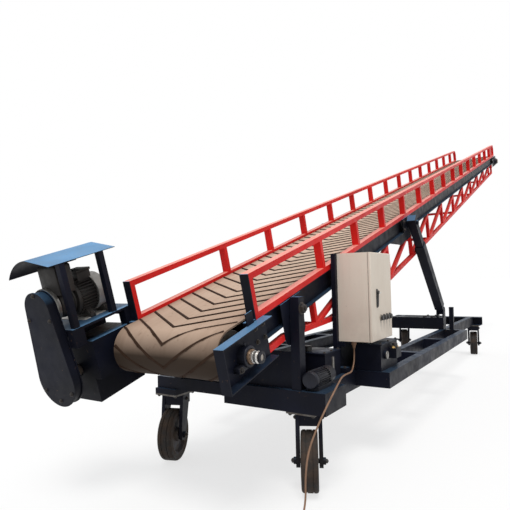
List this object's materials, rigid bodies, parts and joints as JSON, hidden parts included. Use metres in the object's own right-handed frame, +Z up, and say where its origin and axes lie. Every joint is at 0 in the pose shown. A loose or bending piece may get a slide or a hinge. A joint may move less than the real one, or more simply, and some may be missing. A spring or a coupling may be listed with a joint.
{
  "type": "portable conveyor",
  "caption": "Inclined belt conveyor for loading trucks: a railed truss boom hinged on a low castor chassis, raised by telescopic legs, with a tail drive and a control cabinet",
  "frame": {"origin": "on the floor under the middle of the machine's bounding box", "axes": "+X along the conveyor from tail to head, +Y to the drive side, +Z up"},
  "size_m": [9.59, 1.351, 3.519],
  "materials": {
    "red_paint": "weathered red gloss paint",
    "blue_paint": "weathered blue gloss paint",
    "belt_rubber": "dusty brown ribbed rubber",
    "bare_steel": "worn bare steel",
    "cast_iron": "cast, lightly oiled",
    "motor_grey": "blue grey enamel",
    "cabinet_grey": "warm grey powder coat",
    "tyre": "solid rubber tread on a cast hub",
    "cord_rubber": "brown rubber sheath"
  },
  "bodies": {
    "chassis": {"front_sleeve": "blue_paint", "front_extension": "blue_paint", "rear_sleeve": "blue_paint", "rear_extension": "blue_paint", "long_beam_near": "blue_paint", "long_beam_far": "blue_paint", "side_deck_near": "blue_paint", "side_deck_far": "blue_paint", "leg_beam": "blue_paint", "pivot_post_near": "blue_paint", "pivot_post_far": "blue_paint", "castor_plates": "bare_steel", "cabinet_posts": "blue_paint", "control_cabinet": "cabinet_grey", "oil_tank": "blue_paint", "pump_motor": "motor_grey", "power_pack": "blue_paint", "cord_gland": "cord_rubber", "supply_cord": "cord_rubber", "cord_coil": "cord_rubber", "cord_plug": "cord_rubber"},
    "boom": {"side_beam_near": "blue_paint", "side_beam_far": "blue_paint", "guard_rail_near": "red_paint", "guard_rail_far": "red_paint", "tail_frame_near": "blue_paint", "tail_frame_far": "blue_paint", "head_frame_near": "blue_paint", "head_frame_far": "blue_paint", "truss_near": "red_paint", "truss_far": "red_paint", "truss_ties": "red_paint", "belt": "belt_rubber", "tail_drum": "bare_steel", "head_drum": "bare_steel", "tail_bearings": "cast_iron", "head_bearings": "cast_iron", "bed": "bare_steel", "return_rollers": "bare_steel", "motor_platform": "blue_paint", "drive_motor": "motor_grey", "chain_guard": "blue_paint", "worm_reducer": "cast_iron", "rain_cover": "blue_paint", "cover_posts": "blue_paint", "pivot_hubs": "blue_paint", "leg_brackets": "blue_paint"},
    "lift_outer": {"leg_outer_near": "blue_paint", "leg_outer_far": "blue_paint"},
    "lift_inner": {"leg_inner_near": "blue_paint", "leg_inner_far": "blue_paint"},
    "door": {"cabinet_door": "cabinet_grey"},
    "castor_fr": {"fork_fr": "blue_paint"},
    "roller_fr": {"wheel_fr": "tyre"},
    "castor_fl": {"fork_fl": "blue_paint"},
    "roller_fl": {"wheel_fl": "tyre"},
    "castor_rr": {"fork_rr": "blue_paint"},
    "roller_rr": {"wheel_rr": "tyre"},
    "castor_rl": {"fork_rl": "blue_paint"},
    "roller_rl": {"wheel_rl": "tyre"}
  },
  "joints": [
    {"name": "boom_luff", "type": "hinge", "parent": "chassis", "child": "boom", "pos_m": [-3.88074, -0.0155, 0.91457], "axis": [0, -1, 0], "range_deg": [-5, 5]},
    {"name": "leg_tilt", "type": "hinge", "parent": "chassis", "child": "lift_outer", "pos_m": [-0.71049, -0.0155, 0.692], "axis": [0, -1, 0], "range_deg": [-6, 6]},
    {"name": "leg_slide", "type": "slide", "parent": "lift_outer", "child": "lift_inner", "axis": [-0.7598, 0, 0.6501], "range_m": [-0.18, 0.18]},
    {"name": "door_hinge", "type": "hinge", "parent": "chassis", "child": "door", "pos_m": [-2.97549, -0.6015, 0.687], "axis": [0, 0, 1], "range_deg": [0, 110]},
    {"name": "swivel_fr", "type": "hinge", "parent": "chassis", "child": "castor_fr", "pos_m": [-3.82049, -0.4265, 0.394], "axis": [0, 0, 1], "continuous": true},
    {"name": "spin_fr", "type": "hinge", "parent": "castor_fr", "child": "roller_fr", "pos_m": [-3.86993, -0.45061, 0.15], "axis": [0.438, -0.899, 0], "continuous": true},
    {"name": "swivel_fl", "type": "hinge", "parent": "chassis", "child": "castor_fl", "pos_m": [-3.82049, 0.4715, 0.394], "axis": [0, 0, 1], "continuous": true},
    {"name": "spin_fl", "type": "hinge", "parent": "castor_fl", "child": "roller_fl", "pos_m": [-3.8725, 0.45359, 0.15], "axis": [0.3258, -0.9454, 0], "continuous": true},
    {"name": "swivel_rr", "type": "hinge", "parent": "chassis", "child": "castor_rr", "pos_m": [0.99051, -0.4645, 0.394], "axis": [0, 0, 1], "continuous": true},
    {"name": "spin_rr", "type": "hinge", "parent": "castor_rr", "child": "roller_rr", "pos_m": [1.04497, -0.45685, 0.15], "axis": [-0.139, 0.9903, 0], "continuous": true},
    {"name": "swivel_rl", "type": "hinge", "parent": "chassis", "child": "castor_rl", "pos_m": [0.99051, 0.4335, 0.394], "axis": [0, 0, 1], "continuous": true},
    {"name": "spin_rl", "type": "hinge", "parent": "castor_rl", "child": "roller_rl", "pos_m": [1.04219, 0.45231, 0.15], "axis": [-0.3419, 0.9397, 0], "continuous": true}
  ],
  "couplings": [
    {"joint": "leg_tilt", "follows": "boom_luff", "ratio": -1.0046},
    {"joint": "leg_slide", "follows": "boom_luff", "m_per_rad": 1.8752}
  ]
}
